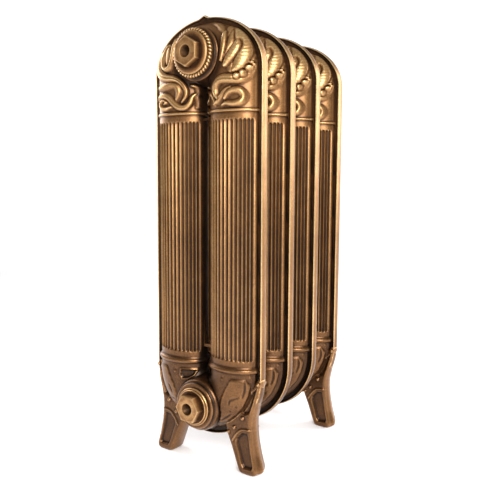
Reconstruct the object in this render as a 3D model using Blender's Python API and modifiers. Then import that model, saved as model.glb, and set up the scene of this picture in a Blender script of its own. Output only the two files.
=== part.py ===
"""Ornate cast iron column radiator of four sections, modelled in metres.

+X runs across a section, +Y along the row of sections and +Z up. The origin is on the floor, under the
middle of the assembled radiator. Each section is a hollow casting: two columns joined by a top and a bottom
header, with a thin rim around the outside. Hollow nipples join the sections at their four ports.
"""

import math

import bmesh
import bpy
from mathutils import Matrix

MM = 0.001

# Driving dimensions
SECTION_COUNT = 4
PITCH = 78 * MM                 # distance from one section to the next
WIDTH = 204 * MM                # across the rim
HEIGHT = 680 * MM
PORT_LOW = 97 * MM              # height of the bottom port axis
PORT_HIGH = 623 * MM            # height of the top port axis
JOINT_GAP = 0.3 * MM            # clearance left between pieces that touch

# Casting
COLUMN_X = 50 * MM              # a column's axis, from the middle of the section
COLUMN_HALF_WIDTH = 42 * MM
COLUMN_HALF_DEPTH = 28 * MM
WALL = 8 * MM
RIM_HALF_DEPTH = 7 * MM         # of the outer lip
RIM_LIP = 2.5 * MM              # the lip's thickness
RIM_WEB_HALF_DEPTH = 2.6 * MM
RIM_BITE = 14 * MM              # how far in from the rim's edge its web reaches
ARCH_LOW = 148 * MM             # centre height of the bottom arch
ARCH_HIGH = HEIGHT - WIDTH / 2  # centre height of the slot's round top
RIM_SPRING = 600 * MM           # where the rim starts to curve over, in a flatter arch than the slot's
HUB_RADIUS = 39 * MM
HUB_REACH = 38 * MM             # hub face, from the middle of the section
HUB_CHAMFER = 4 * MM
CHAMBER_RADIUS = 32 * MM
CHAMBER_REACH = 22 * MM
PORT_RADIUS = 20.6 * MM

# Collar beads, flutes and ties
BEAD_HEIGHTS = (160 * MM, 540 * MM)
BEAD_PROUD = 3 * MM
BEAD_THICKNESS = 5 * MM
FLUTE_COUNT = 14                # on each face of a column
FLUTE_STEP = math.radians(10)   # step of the ellipse's parameter
FLUTE_DEPTH = 2.5 * MM
FLUTE_INSET = 0.8 * MM          # how far the fluted surface stands back from the plain one
FLUTE_OVERLAP = 3 * MM
FLUTE_LOW = 175 * MM
FLUTE_HIGH = 528 * MM
TIE_HEIGHTS = (184 * MM, 519 * MM)
TIE_SIZE = (24 * MM, 12 * MM, 8 * MM)

# Right foot, in front view: (x, z) in millimetres
FOOT_HALF_DEPTH = 15 * MM
FOOT_OUTER = ((100.5, 148), (96, 132), (91.5, 112), (87.5, 92), (86.8, 74), (88.6, 52), (93, 26), (98, 7))
FOOT_SOLE = ((94, 0), (70, 0), (65, 6))
FOOT_INNER = ((44, 58), (52, 78), (80, 112))
FOOT_PANEL_DEPTH = 3 * MM
FOOT_PANEL = ((79, 66), (70, 66), (58, 51), (72, 12), (90, 10), (84, 40))

# Fittings, measured from the hub face outwards
GASKET_ROOM = 2 * MM            # space between a hub face and its neighbour
NIPPLE_RADIUS = 20 * MM
NIPPLE_BORE = 15 * MM
NIPPLE_HALF_LENGTH = 13 * MM
NIPPLE_LUG = (4 * MM, 3 * MM, 16 * MM)
GASKET_BORE = 21 * MM
SECTION_GASKET_RADIUS = 33 * MM
BUSH_GASKET_RADIUS = 28 * MM
BUSH_FLANGE_RADIUS = 30 * MM
BUSH_FLANGE = 6 * MM
BUSH_CHAMFER = 2 * MM
BUSH_HEX_RADIUS = 21.65 * MM    # to a corner, for a 37.5 mm spanner
BUSH_HEX = 10 * MM
BUSH_SPIGOT = 12 * MM
BUSH_BORE = 9.3 * MM            # a half inch pipe thread's minor radius
BUSH_RELIEF_RADIUS = 15 * MM
BUSH_RELIEF_DEPTH = 8 * MM
BUSH_FACE = GASKET_ROOM + BUSH_FLANGE + BUSH_HEX

# Rear closures
TAP_RADIUS = 9 * MM
TAP_LENGTH = 11 * MM
SEAL_RADIUS = 13 * MM
SEAL_BORE = 9.4 * MM
SMALL_HEX_RADIUS = 12.7 * MM    # to a corner, for a 22 mm spanner
PLUG_HEAD = 8 * MM
VENT_HEX = 4 * MM
VENT_BOSS_RADIUS = 7.5 * MM
VENT_BOSS = 4 * MM
VENT_OUTLET_RADIUS = 1.2 * MM
SCREW_RADIUS = 2.8 * MM
SCREW_HOLE_RADIUS = 3.15 * MM
SCREW_DEPTH = 9 * MM
SCREW_HEAD = (5 * MM, 5 * MM, 5 * MM)
CUT_PAST = 1 * MM               # how far a cutter runs past the face that it opens
OVERLAP = 1 * MM                # how far joined shapes run into each other

# Facets
ARCH_STEPS = 8
RIM_STEPS = 14
COLUMN_SIDES = 16
CAVITY_STEPS = 6
CAVITY_SIDES = 8
BEAD_SIDES = 12
CHAMBER_SIDES = 10
HUB_SIDES = 16
FLANGE_SIDES = 20
OUTLET_SIDES = 8

BRONZE = ((0.30, 0.19, 0.08), 0.45, 0.7)
BRASS = ((0.50, 0.36, 0.14), 0.40, 0.9)
IRON = ((0.09, 0.08, 0.075), 0.60, 0.9)
FIBRE = ((0.05, 0.045, 0.04), 0.85, 0.0)


def clear_scene():
    for obj in list(bpy.data.objects):
        bpy.data.objects.remove(obj, do_unlink=True)


def collection(name):
    made = bpy.data.collections.new(name)
    bpy.context.scene.collection.children.link(made)
    return made


def material(name, look):
    colour, roughness, metallic = look
    made = bpy.data.materials.new(name)
    made.use_nodes = True
    shader = made.node_tree.nodes["Principled BSDF"]
    shader.inputs["Base Color"].default_value = (*colour, 1.0)
    shader.inputs["Roughness"].default_value = roughness
    shader.inputs["Metallic"].default_value = metallic
    return made


def mesh_object(name, mesh, group):
    obj = bpy.data.objects.new(name, mesh)
    group.objects.link(obj)
    return obj


def from_bmesh(name, bm, group):
    mesh = bpy.data.meshes.new(name)
    bm.to_mesh(mesh)
    bm.free()
    return mesh_object(name, mesh, group)


def add_cylinder(bm, radius, low, high, sides=HUB_SIDES, turn=0.0, place=Matrix()):
    """A closed cylinder on the local Z axis from low to high, with its first corner turned by turn."""
    at = Matrix.Translation((0, 0, (low + high) / 2)) @ Matrix.Rotation(turn, 4, "Z")
    bmesh.ops.create_cone(bm, cap_ends=True, segments=sides, radius1=radius, radius2=radius,
                          depth=high - low, matrix=place @ at)


def add_box(bm, size, centre, place=Matrix()):
    at = Matrix.Translation(centre) @ Matrix.Diagonal((*size, 1.0))
    bmesh.ops.create_cube(bm, size=1.0, matrix=place @ at)


def cylinder(name, radius, low, high, group, **shape):
    bm = bmesh.new()
    add_cylinder(bm, radius, low, high, **shape)
    return from_bmesh(name, bm, group)


def turned(name, profile, group, sides=HUB_SIDES):
    """A solid of revolution about Z. The profile's (radius, height) points run from top to bottom."""
    bm = bmesh.new()
    points = [bm.verts.new((radius, 0, height)) for radius, height in profile]
    for start, end in zip(points, points[1:]):
        bm.edges.new((start, end))
    obj = from_bmesh(name, bm, group)
    screw = obj.modifiers.new("turn", "SCREW")
    screw.steps = screw.render_steps = sides
    screw.use_merge_vertices = True
    screw.merge_threshold = 0.00001
    return obj


def tool(obj, target):
    """Turns an object into a Boolean operand that travels with its target."""
    obj.parent = target
    obj.display_type = "WIRE"
    obj.hide_render = True
    return obj


def combine(target, operand, operation):
    boolean = target.modifiers.new(operand.name, "BOOLEAN")
    boolean.operation = operation
    boolean.solver = "EXACT"
    boolean.object = tool(operand, target)


def unite(target, operand):
    combine(target, operand, "UNION")


def cut(target, operand):
    combine(target, operand, "DIFFERENCE")


def smooth(obj, angle=35):
    obj.data.shade_smooth()
    obj.data.set_sharp_from_angle(angle=math.radians(angle))


def link_outline(radius, steps, spring=ARCH_HIGH):
    """Points of an upright stadium. Its top arch starts at spring and is flattened to keep its full height."""
    points = []
    for centre, first, squash in ((spring, 0.0, spring - ARCH_HIGH), (ARCH_LOW, math.pi, 0.0)):
        for step in range(steps + 1):
            angle = first + math.pi * step / steps
            points.append((radius * math.cos(angle), centre + (radius - squash) * math.sin(angle)))
    return points


def flat_curve(name, outlines, group):
    """A 2D curve in local XY, one closed polygon to each outline."""
    curve = bpy.data.curves.new(name, "CURVE")
    curve.dimensions = "2D"
    for outline in outlines:
        spline = curve.splines.new("POLY")
        spline.points.add(len(outline) - 1)
        for point, (x, y) in zip(spline.points, outline):
            point.co = (x, y, 0, 1)
        spline.use_cyclic_u = True
    obj = bpy.data.objects.new(name, curve)
    group.objects.link(obj)
    return obj


def curve_to_mesh(obj, group, upright=True):
    """The curve's solid as a mesh object. An upright one has its local Y turned to world Z."""
    obj.rotation_euler = (math.pi / 2 if upright else 0, 0, 0)
    bpy.context.view_layer.update()
    evaluated = obj.evaluated_get(bpy.context.evaluated_depsgraph_get())
    mesh = bpy.data.meshes.new_from_object(evaluated)
    mesh.transform(obj.matrix_world)
    name = obj.name
    curve = obj.data
    bpy.data.objects.remove(obj, do_unlink=True)
    bpy.data.curves.remove(curve)
    bm = bmesh.new()
    bm.from_mesh(mesh)
    bmesh.ops.remove_doubles(bm, verts=bm.verts, dist=0.00001)
    bmesh.ops.recalc_face_normals(bm, faces=bm.faces)
    bm.to_mesh(mesh)
    bm.free()
    mesh.name = name
    return mesh_object(name, mesh, group)


def link_tube(name, half_width, half_depth, steps, sides, group):
    """An elliptical tube swept around the centre line of the two columns and their headers."""
    ellipse = [(half_width * math.cos(math.tau * side / sides), half_depth * math.sin(math.tau * side / sides))
               for side in range(sides)]
    profile = flat_curve(name + "_profile", [ellipse], group)
    path = flat_curve(name, [link_outline(COLUMN_X, steps)], group)
    path.data.bevel_mode = "OBJECT"
    path.data.bevel_object = profile
    tube = curve_to_mesh(path, group)
    bpy.data.objects.remove(profile, do_unlink=True)
    return tube


def fill_shoulders(obj):
    """Lifts the outer side of a swept tube's top arch, so that it follows the rim's flatter one."""
    slot = COLUMN_X - COLUMN_HALF_WIDTH
    for vertex in obj.data.vertices:
        x, z = vertex.co.x, vertex.co.z - ARCH_HIGH
        if z > -JOINT_GAP:
            radius = math.hypot(x, z)
            share = (radius - slot) / (2 * COLUMN_HALF_WIDTH)
            vertex.co.z += (RIM_SPRING - ARCH_HIGH) * share * (1 - max(z, 0) / radius)
    return obj


def plate(name, outlines, half_depth, group):
    """A flat upright plate, outline by outline, centred on the section's middle plane."""
    flat = flat_curve(name, outlines, group)
    flat.data.fill_mode = "BOTH"
    flat.data.extrude = half_depth
    return curve_to_mesh(flat, group)


def rim(name, thickness, half_depth, group):
    """One of the two plates, web and lip, that make the rim's T-shaped cross-section."""
    outer = WIDTH / 2
    outlines = [link_outline(radius, RIM_STEPS, RIM_SPRING) for radius in (outer, outer - thickness)]
    return plate(name, outlines, half_depth, group)


def along_y(y=0.0, z=0.0, outward=1):
    """Places a shape's local Z along world Y, pointing outward from height z."""
    return Matrix.Translation((0, y, z)) @ Matrix.Rotation(-outward * math.pi / 2, 4, "X")


def hubs(name, group):
    """The two port bosses, each chamfered at both faces."""
    bm = bmesh.new()
    for height in (PORT_LOW, PORT_HIGH):
        place = along_y(z=height)
        add_cylinder(bm, HUB_RADIUS, -HUB_REACH, HUB_REACH, place=place)
    bm.normal_update()
    ends = [edge for edge in bm.edges if edge.calc_face_angle() > math.pi / 3]
    bmesh.ops.bevel(bm, geom=ends, offset=HUB_CHAMFER, segments=1, affect="EDGES")
    return from_bmesh(name, bm, group)


def beads(name, group):
    """Elliptical rings around both columns, just inside the top and bottom ornament."""
    bm = bmesh.new()
    unit_radius = 1.0
    stretch = Matrix.Diagonal((COLUMN_HALF_WIDTH + BEAD_PROUD, COLUMN_HALF_DEPTH + BEAD_PROUD, 1.0, 1.0))
    for side in (-1, 1):
        for height in BEAD_HEIGHTS:
            place = Matrix.Translation((side * COLUMN_X, 0, height)) @ stretch
            add_cylinder(bm, unit_radius, -BEAD_THICKNESS / 2, BEAD_THICKNESS / 2, sides=BEAD_SIDES, place=place)
    return from_bmesh(name, bm, group)


def ties(name, group):
    """Short cast bars that bridge the slot between the columns."""
    bm = bmesh.new()
    for height in TIE_HEIGHTS:
        add_box(bm, TIE_SIZE, (0, 0, height))
    return from_bmesh(name, bm, group)


def fluted_outline(side):
    """A column's cross-section: an ellipse with V-shaped grooves cut into its front and its back."""
    first = math.pi / 2 - FLUTE_STEP * FLUTE_COUNT / 2
    outline = []
    for turn in (0.0, math.pi):
        outline.append((turn, 0.0))
        for half_step in range(2 * FLUTE_COUNT + 1):
            outline.append((turn + first + half_step * FLUTE_STEP / 2, FLUTE_DEPTH * (half_step % 2)))
    return [(side * COLUMN_X + (COLUMN_HALF_WIDTH - FLUTE_INSET - depth) * math.cos(angle),
             (COLUMN_HALF_DEPTH - FLUTE_INSET - depth) * math.sin(angle)) for angle, depth in outline]


def fluted_columns(name, group):
    """Both columns' fluted stretch, which runs a little way into the plain casting at each end."""
    flat = flat_curve(name, [fluted_outline(-1), fluted_outline(1)], group)
    flat.data.fill_mode = "BOTH"
    flat.data.extrude = (FLUTE_HIGH - FLUTE_LOW) / 2 + FLUTE_OVERLAP
    columns = curve_to_mesh(flat, group, upright=False)
    columns.data.transform(Matrix.Translation((0, 0, (FLUTE_HIGH + FLUTE_LOW) / 2)))
    return columns


def plain_stretch(name, group):
    """The straight part of the swept tube, which the fluted columns take the place of."""
    bm = bmesh.new()
    add_box(bm, (WIDTH, COLUMN_HALF_DEPTH * 3, FLUTE_HIGH - FLUTE_LOW), (0, 0, (FLUTE_HIGH + FLUTE_LOW) / 2))
    return from_bmesh(name, bm, group)


def ports(name, group):
    """The threaded ports, right through from hub face to hub face."""
    bm = bmesh.new()
    reach = HUB_REACH + CUT_PAST
    for height in (PORT_LOW, PORT_HIGH):
        add_cylinder(bm, PORT_RADIUS, -reach, reach, place=along_y(z=height))
    return from_bmesh(name, bm, group)


def chambers(name, group):
    """The wider room behind each pair of ports, where the waterway opens out."""
    bm = bmesh.new()
    for height in (PORT_LOW, PORT_HIGH):
        add_cylinder(bm, CHAMBER_RADIUS, -CHAMBER_REACH, CHAMBER_REACH, sides=CHAMBER_SIDES,
                     place=along_y(z=height))
    return from_bmesh(name, bm, group)


def scaled(*outlines):
    """Joins outlines given in millimetres into one, in metres."""
    return [(x * MM, z * MM) for outline in outlines for x, z in outline]


def mirrored(outline):
    return [(-x, z) for x, z in reversed(outline)]


def feet(name, group):
    outline = scaled(FOOT_OUTER, FOOT_SOLE, FOOT_INNER)
    return plate(name, [outline, mirrored(outline)], FOOT_HALF_DEPTH, group)


def foot_panels(name, group):
    """Shallow recesses in the front and back of each foot."""
    bm = bmesh.new()
    for face in (-1, 1):
        for half in (scaled(FOOT_PANEL), mirrored(scaled(FOOT_PANEL))):
            panel = plate("panel", [half], FOOT_PANEL_DEPTH, group)
            panel.data.transform(Matrix.Translation((0, face * FOOT_HALF_DEPTH, 0)))
            bm.from_mesh(panel.data)
            bpy.data.objects.remove(panel, do_unlink=True)
    return from_bmesh(name, bm, group)


def section(name, y, look, parts, tools, with_feet):
    """One hollow casting: columns and headers, rim, hubs, beads and ties, then its waterway and flutes."""
    body = fill_shoulders(link_tube(name, COLUMN_HALF_WIDTH, COLUMN_HALF_DEPTH, ARCH_STEPS, COLUMN_SIDES,
                                    parts))
    cut(body, plain_stretch(name + "_plain_stretch", tools))
    unite(body, fluted_columns(name + "_columns", tools))
    unite(body, rim(name + "_rim_web", RIM_BITE, RIM_WEB_HALF_DEPTH, tools))
    unite(body, rim(name + "_rim_lip", RIM_LIP, RIM_HALF_DEPTH, tools))
    unite(body, beads(name + "_beads", tools))
    unite(body, ties(name + "_ties", tools))
    if with_feet:
        unite(body, feet(name + "_feet", tools))
    unite(body, hubs(name + "_hubs", tools))
    if with_feet:
        cut(body, foot_panels(name + "_foot_panels", tools))
    cut(body, fill_shoulders(link_tube(name + "_waterway", COLUMN_HALF_WIDTH - WALL,
                                       COLUMN_HALF_DEPTH - WALL, CAVITY_STEPS, CAVITY_SIDES, tools)))
    cut(body, chambers(name + "_chambers", tools))
    cut(body, ports(name + "_ports", tools))
    body.location = (0, y, 0)
    body.data.materials.append(material(name, look))
    smooth(body)
    return body


def ring(name, outer, bore, low, high, parts, sides=HUB_SIDES):
    profile = [(outer, high), (outer, low), (bore, low), (bore, high), (outer, high)]
    return turned(name, profile, parts, sides=sides)


def stand_at_port(obj, y, z, outward, look):
    """Puts a fitting on a port axis with its local Z pointing out along Y."""
    obj.location = (0, y, z)
    obj.rotation_euler = (-outward * math.pi / 2, 0, 0)
    obj.data.materials.append(material(obj.name, look))
    smooth(obj)


def nipple(name, y, z, parts, tools):
    """A hollow joiner with two lugs inside, which its key turns."""
    body = ring(name, NIPPLE_RADIUS, NIPPLE_BORE, -NIPPLE_HALF_LENGTH, NIPPLE_HALF_LENGTH, parts)
    bm = bmesh.new()
    width, depth, length = NIPPLE_LUG
    for side in (-1, 1):
        add_box(bm, (depth * 2, width, length), (side * NIPPLE_BORE, 0, 0))
    unite(body, from_bmesh(name + "_lugs", bm, tools))
    stand_at_port(body, y, z, 1, IRON)


def gasket(name, outer, y, z, outward, parts):
    """A flat ring that fills the space outside a hub face."""
    body = ring(name, outer, GASKET_BORE, JOINT_GAP, GASKET_ROOM - JOINT_GAP, parts)
    stand_at_port(body, y, z, outward, FIBRE)


def bush(name, y, z, outward, hex_turn, parts, tools):
    """A reducing bush: round flange, hexagon, threaded spigot and a half inch bore."""
    flange_face = GASKET_ROOM + BUSH_FLANGE
    spigot_end = GASKET_ROOM - BUSH_SPIGOT
    body = turned(name, [(0, flange_face), (BUSH_FLANGE_RADIUS - BUSH_CHAMFER, flange_face),
                         (BUSH_FLANGE_RADIUS, flange_face - BUSH_CHAMFER), (BUSH_FLANGE_RADIUS, GASKET_ROOM),
                         (NIPPLE_RADIUS, GASKET_ROOM), (NIPPLE_RADIUS, spigot_end), (0, spigot_end)],
                  parts, sides=FLANGE_SIDES)
    unite(body, cylinder(name + "_hex", BUSH_HEX_RADIUS, flange_face - BUSH_CHAMFER, BUSH_FACE, tools,
                         sides=6, turn=hex_turn))
    cut(body, cylinder(name + "_bore", BUSH_BORE, spigot_end - CUT_PAST, BUSH_FACE + CUT_PAST, tools))
    cut(body, cylinder(name + "_relief", BUSH_RELIEF_RADIUS, spigot_end - CUT_PAST,
                       spigot_end + BUSH_RELIEF_DEPTH, tools))
    stand_at_port(body, y, z, outward, BRONZE)


def seal(name, y, z, parts):
    body = ring(name, SEAL_RADIUS, SEAL_BORE, JOINT_GAP, GASKET_ROOM - JOINT_GAP, parts)
    stand_at_port(body, y, z, 1, FIBRE)


def blanking_plug(name, y, z, parts, tools):
    body = cylinder(name, TAP_RADIUS, GASKET_ROOM - TAP_LENGTH, GASKET_ROOM + OVERLAP, parts)
    unite(body, cylinder(name + "_hex", SMALL_HEX_RADIUS, GASKET_ROOM, GASKET_ROOM + PLUG_HEAD, tools, sides=6))
    stand_at_port(body, y, z, 1, BRASS)


def air_vent(name, y, z, parts, tools):
    """A vent body with a blind screw hole and a side outlet. Returns the height of its face."""
    face = GASKET_ROOM + VENT_HEX + VENT_BOSS
    body = cylinder(name, TAP_RADIUS, GASKET_ROOM - TAP_LENGTH, GASKET_ROOM + OVERLAP, parts)
    unite(body, cylinder(name + "_hex", SMALL_HEX_RADIUS, GASKET_ROOM, GASKET_ROOM + VENT_HEX, tools, sides=6))
    unite(body, cylinder(name + "_boss", VENT_BOSS_RADIUS, GASKET_ROOM + OVERLAP, face, tools))
    cut(body, cylinder(name + "_hole", SCREW_HOLE_RADIUS, face - SCREW_DEPTH - JOINT_GAP, face + CUT_PAST,
                       tools))
    outlet = Matrix.Translation((0, 0, face - VENT_BOSS / 2)) @ Matrix.Rotation(math.pi / 2, 4, "X")
    cut(body, cylinder(name + "_outlet", VENT_OUTLET_RADIUS, 0, VENT_BOSS_RADIUS + CUT_PAST, tools,
                       sides=OUTLET_SIDES, place=outlet))
    stand_at_port(body, y, z, 1, BRASS)
    return face


def bleed_screw(name, y, z, parts, tools):
    """A square-headed screw whose origin is on its axis, at the vent's face."""
    body = cylinder(name, SCREW_RADIUS, -SCREW_DEPTH, OVERLAP, parts)
    bm = bmesh.new()
    add_box(bm, SCREW_HEAD, (0, 0, JOINT_GAP + SCREW_HEAD[2] / 2))
    unite(body, from_bmesh(name + "_head", bm, tools))
    stand_at_port(body, y, z, 1, BRASS)


def build():
    clear_scene()
    parts = collection("cast_iron_radiator")
    tools = collection("cutters")

    closure = GASKET_ROOM + VENT_HEX + VENT_BOSS + JOINT_GAP + SCREW_HEAD[2]
    row = [(number - (SECTION_COUNT - 1) / 2) * PITCH - closure / 2 for number in range(SECTION_COUNT)]

    names = ["end_section_front", "middle_section_front", "middle_section_rear", "end_section_rear"]
    for name, y in zip(names, row):
        section(name, y, BRONZE, parts, tools, with_feet=name.startswith("end"))

    port_heights = {"top": PORT_HIGH, "bottom": PORT_LOW}
    for number, y in enumerate(row[:-1], start=1):
        for level, height in port_heights.items():
            nipple(f"nipple_{level}_{number}", y + PITCH / 2, height, parts, tools)
            gasket(f"section_gasket_{level}_{number}", SECTION_GASKET_RADIUS, y + HUB_REACH, height, 1, parts)

    hex_turns = {"top": 0.0, "bottom": math.pi / 6}
    for end, y, outward in (("front", row[0] - HUB_REACH, -1), ("rear", row[-1] + HUB_REACH, 1)):
        for level, height in port_heights.items():
            gasket(f"bush_gasket_{end}_{level}", BUSH_GASKET_RADIUS, y, height, outward, parts)
            bush(f"bush_{end}_{level}", y, height, outward, hex_turns[level], parts, tools)

    bush_face = row[-1] + HUB_REACH + BUSH_FACE
    seal("plug_seal", bush_face, PORT_LOW, parts)
    blanking_plug("blanking_plug", bush_face, PORT_LOW, parts, tools)
    seal("vent_seal", bush_face, PORT_HIGH, parts)
    vent_face = air_vent("vent_body", bush_face, PORT_HIGH, parts, tools)
    bleed_screw("bleed_screw", bush_face + vent_face, PORT_HIGH, parts, tools)


build()
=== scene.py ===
"""Looks for the ornate cast iron column radiator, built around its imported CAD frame."""
import math

import bmesh
import bpy
import numpy as np
from mathutils import Matrix, Vector
from mathutils.bvhtree import BVHTree


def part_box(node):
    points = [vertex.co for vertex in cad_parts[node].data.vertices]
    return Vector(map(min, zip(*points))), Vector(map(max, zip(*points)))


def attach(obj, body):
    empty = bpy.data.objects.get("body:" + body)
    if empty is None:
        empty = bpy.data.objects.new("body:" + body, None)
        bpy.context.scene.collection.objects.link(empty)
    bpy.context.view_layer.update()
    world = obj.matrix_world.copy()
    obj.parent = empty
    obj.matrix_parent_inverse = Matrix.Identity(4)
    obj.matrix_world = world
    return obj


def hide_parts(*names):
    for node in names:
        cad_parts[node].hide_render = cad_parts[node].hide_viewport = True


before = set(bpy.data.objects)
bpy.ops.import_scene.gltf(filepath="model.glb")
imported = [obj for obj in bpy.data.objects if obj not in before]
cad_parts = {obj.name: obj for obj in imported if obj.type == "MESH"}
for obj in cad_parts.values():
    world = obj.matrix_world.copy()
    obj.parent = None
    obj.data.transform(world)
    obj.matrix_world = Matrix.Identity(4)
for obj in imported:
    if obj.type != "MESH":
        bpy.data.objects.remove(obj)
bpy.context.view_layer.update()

MM = 0.001

# ------------ sizes, in millimetres
# Those that the frame's boxes don't show repeat the CAD's own.

SECTIONS = ["end_section_front", "middle_section_front", "middle_section_rear", "end_section_rear"]


def node_box(node):
    low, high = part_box(node)
    return np.array(low) / MM, np.array(high) / MM


def node_centre(node):
    low, high = node_box(node)
    return (low + high) / 2


SECTION_LOW, SECTION_HIGH = node_box("middle_section_front")
RIM_RADIUS = (SECTION_HIGH[0] - SECTION_LOW[0]) / 2
ARCH_HIGH = SECTION_HIGH[2] - RIM_RADIUS
ARCH_LOW = 148.0
RIM_SPRING = 600.0
FLATTEN = RIM_SPRING - ARCH_HIGH
HUB_REACH = (SECTION_HIGH[1] - SECTION_LOW[1]) / 2
PORT_HIGH = node_centre("bush_front_top")[2]
PORT_LOW = node_centre("bush_front_bottom")[2]
TUBE_X = 50.0
TUBE_WIDE = 42.0
TUBE_DEEP = 28.0
WALL = 8.0

BEAD_LOW, BEAD_HIGH = 160.0, 540.0
HEADER_START = BEAD_HIGH + 4.4    # where the straight columns begin to spread into the header
FLUTE_LOW, FLUTE_HIGH = 175.0, 528.0
FLUTE_COUNT = 14
FLUTE_STEP = math.radians(10)
FLUTE_SHARE = 0.36
FLUTE_DEPTH = 2.3

ARCH_ROWS_HIGH = 176
ARCH_ROWS_LOW = 104
FRONT_SAMPLES = 6
BACK_SAMPLES = 5

# ------------ relief, drawn on the section's front view


PATH_STEPS = 7         # between two control points
PATH_THINNEST = 0.4


def smooth_path(points):
    """A Catmull-Rom curve through control points (x, z, half width)."""
    p = np.array(points, float)
    p = np.vstack([2 * p[0] - p[1], p, 2 * p[-1] - p[-2]])
    t = np.linspace(0, 1, PATH_STEPS, endpoint=False)[:, None]
    spans = []
    for a, b, c, d in zip(p, p[1:], p[2:], p[3:]):
        spans.append(0.5 * (2 * b + (c - a) * t + (2 * a - 5 * b + 4 * c - d) * t ** 2
                            + (3 * b - a - 3 * c + d) * t ** 3))
    path = np.vstack(spans + [p[-2][None]])
    path[:, 2] = np.maximum(path[:, 2], PATH_THINNEST)
    return path


def nearest_on_path(x, z, path):
    """For each point: its distance from the path over the half width there, and how far along it lies."""
    a, b = path[:-1], path[1:]
    along = np.concatenate([[0], np.cumsum(np.hypot(*(b - a)[:, :2].T))])
    best = np.full(x.shape, 1e9)
    reach = np.zeros(x.shape)
    for start, end, length in zip(a, b, along):
        dx, dz = end[:2] - start[:2]
        span = math.hypot(dx, dz)
        t = np.clip(((x - start[0]) * dx + (z - start[1]) * dz) / max(span * span, 1e-9), 0, 1)
        width = start[2] + t * (end[2] - start[2])
        share = np.hypot(x - start[0] - t * dx, z - start[1] - t * dz) / width
        closer = share < best
        best = np.where(closer, share, best)
        reach = np.where(closer, length + t * span, reach)
    return best, reach


def dome(share):
    return np.sqrt(np.clip(1 - share ** 2, 0, 1))


def groove(share, at, wide):
    return np.exp(-((share - at) / wide) ** 2)


RIB_PITCH = 4.6
KNOB_PITCH = 12.0


def strand_shape(style, share, reach):
    """A strand's height, from 0 to 1, by how far out from its middle and how far along it a point lies."""
    if style == "flat":
        return dome(share) ** 0.45
    if style == "edged":      # a fine line cut along each side
        return dome(share) ** 0.85 * (1 - 0.30 * groove(share, 0.60, 0.10))
    if style == "banded":     # a line down its middle and one along each side
        return dome(share) ** 0.7 * (1 - 0.22 * groove(share, 0.0, 0.12) - 0.26 * groove(share, 0.66, 0.10))
    if style == "ribbed":
        rib = 0.5 + 0.5 * np.cos(reach * math.tau / RIB_PITCH + 1.6 * share)
        return dome(share) ** 0.8 * (1 - 0.08 * rib ** 4)
    if style == "spiked":     # small knobs along it
        knob = np.clip(np.cos(reach * math.tau / KNOB_PITCH), 0, 1) ** 4
        return dome(share) * (0.66 + 0.34 * knob)
    return dome(share)


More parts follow.
